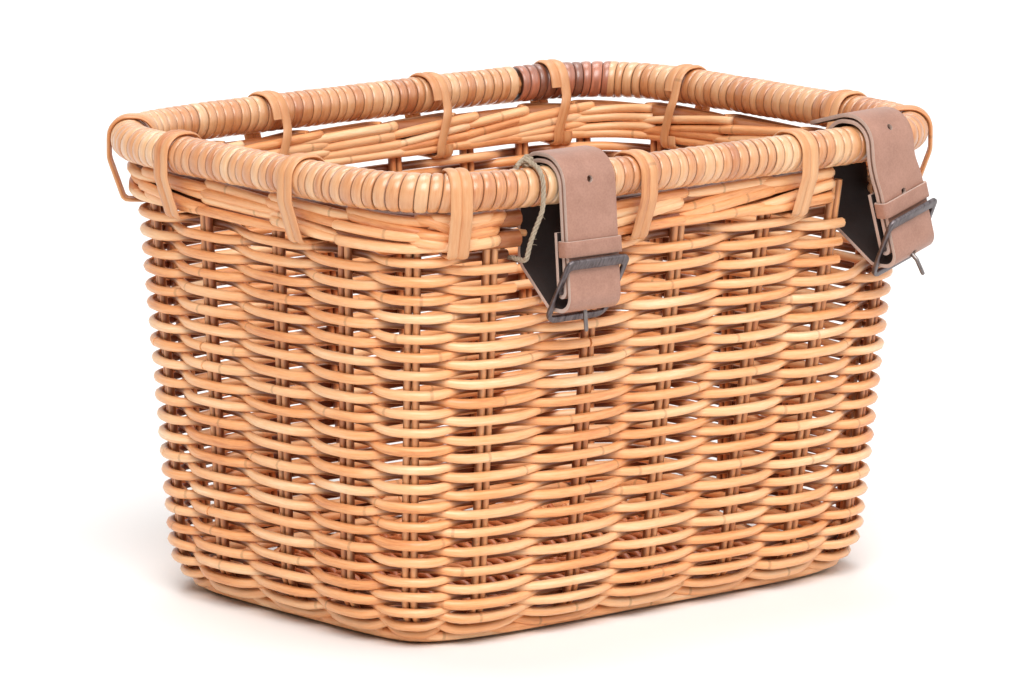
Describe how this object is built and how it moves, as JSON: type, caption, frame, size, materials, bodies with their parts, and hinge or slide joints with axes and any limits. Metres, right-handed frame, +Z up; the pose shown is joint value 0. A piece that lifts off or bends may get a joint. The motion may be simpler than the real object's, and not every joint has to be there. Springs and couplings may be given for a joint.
{
  "type": "wicker carrier basket",
  "caption": "Open rectangular wicker basket with a wrapped rim and buckled leather straps on one long side, for hanging it on a bar or carrier.",
  "frame": {"origin": "centre of the flat underside of the base, on the floor", "axes": "+X along the strap side, -Y out of the side with the straps, +Z up to the open rim"},
  "size_m": [0.3921, 0.3099, 0.2499],
  "materials": {
    "woven_cane": "satin varnish over round cane",
    "inner_cane": "matt round cane",
    "peeled_cane": "glossy cane skin",
    "dark_cane": "glossy dark cane skin",
    "leather": "smooth tan leather with raw pale edges",
    "gunmetal": "dark gunmetal plate",
    "nickel": "worn nickel wire",
    "thread": "waxed thread",
    "jute": "twisted jute"
  },
  "bodies": {
    "basket": {"base_stick_1": "inner_cane", "base_stick_2": "inner_cane", "base_stick_3": "inner_cane", "base_stick_4": "inner_cane", "base_stick_5": "inner_cane", "base_stick_6": "inner_cane", "base_stick_7": "inner_cane", "base_weave": "woven_cane", "border_plait": "woven_cane", "far_fold_stitching": "thread", "far_keeper": "leather", "far_strap": "leather", "foot_upsett": "woven_cane", "jute_tie": "jute", "lashing_back_corner": "peeled_cane", "lashing_back_side_left": "peeled_cane", "lashing_back_side_right": "peeled_cane", "lashing_left_corner": "peeled_cane", "lashing_left_side_back": "peeled_cane", "lashing_left_side_front": "peeled_cane", "lashing_near_corner": "peeled_cane", "lashing_right_corner": "peeled_cane", "lashing_right_side_back": "peeled_cane", "lashing_right_side_front": "peeled_cane", "lashing_strap_side_left": "peeled_cane", "lashing_strap_side_right": "peeled_cane", "near_fold_stitching": "thread", "near_keeper": "leather", "near_strap": "leather", "rim_binding": "peeled_cane", "rim_binding_dark": "dark_cane", "rim_core": "inner_cane", "stake_pair_01": "inner_cane", "stake_pair_02": "inner_cane", "stake_pair_03": "inner_cane", "stake_pair_04": "inner_cane", "stake_pair_05": "inner_cane", "stake_pair_06": "inner_cane", "stake_pair_07": "inner_cane", "stake_pair_08": "inner_cane", "stake_pair_09": "inner_cane", "stake_pair_10": "inner_cane", "stake_pair_11": "inner_cane", "stake_pair_12": "inner_cane", "stake_pair_13": "inner_cane", "stake_pair_14": "inner_cane", "stake_pair_15": "inner_cane", "stake_pair_16": "inner_cane", "stake_pair_17": "inner_cane", "stake_pair_18": "inner_cane", "stake_pair_19": "inner_cane", "stake_pair_20": "inner_cane", "stake_pair_21": "inner_cane", "stake_pair_22": "inner_cane", "woven_wall": "woven_cane"},
    "near_buckle": {"near_buckle_frame": "gunmetal"},
    "near_prong": {"near_buckle_prong": "nickel"},
    "far_buckle": {"far_buckle_frame": "gunmetal"},
    "far_prong": {"far_buckle_prong": "nickel"}
  },
  "joints": [
    {"name": "near_buckle_tilt", "type": "hinge", "parent": "basket", "child": "near_buckle", "pos_m": [-0.08883, -0.14913, 0.1827], "axis": [0.9996, -0.0297, 0], "range_deg": [0, 10]},
    {"name": "near_prong_swing", "type": "hinge", "parent": "basket", "child": "near_prong", "pos_m": [-0.08883, -0.14913, 0.1827], "axis": [-0.9996, 0.0297, 0], "range_deg": [0, 8]},
    {"name": "far_buckle_tilt", "type": "hinge", "parent": "basket", "child": "far_buckle", "pos_m": [0.13207, -0.1455, 0.18411], "axis": [0.9655, 0.1153, 0.2334], "range_deg": [0, 10]},
    {"name": "far_prong_swing", "type": "hinge", "parent": "basket", "child": "far_prong", "pos_m": [0.13207, -0.1455, 0.18411], "axis": [-0.9655, -0.1153, -0.2334], "range_deg": [0, 8]}
  ]
}
